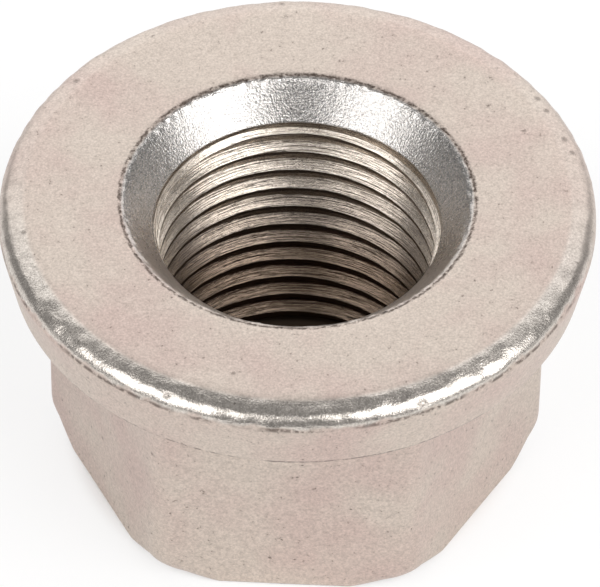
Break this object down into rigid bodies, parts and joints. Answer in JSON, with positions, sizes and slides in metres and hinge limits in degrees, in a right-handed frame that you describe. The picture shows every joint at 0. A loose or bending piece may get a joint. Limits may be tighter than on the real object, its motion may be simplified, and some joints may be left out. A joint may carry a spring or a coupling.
{
  "type": "flange nut",
  "caption": "One-piece steel flange nut: countersunk fine-thread bore, round flange with a rounded, worn lip, and a wrench hexagon with rounded corners.",
  "frame": {"origin": "centre of the bottom face, the wrench end, on the thread axis", "axes": "+Z along the thread axis, from the wrench end to the flange face; a hexagon flat faces -Y and a hexagon corner points along +X"},
  "size_m": [0.032, 0.032, 0.0178],
  "materials": {
    "plated_steel": "dull nickel-like plating with a faint pinkish-beige cast on the flat faces, bright and worn on the lip, in the countersink and on the thread crests"
  },
  "bodies": {
    "root": {"flange_nut": "plated_steel"}
  },
  "joints": []
}
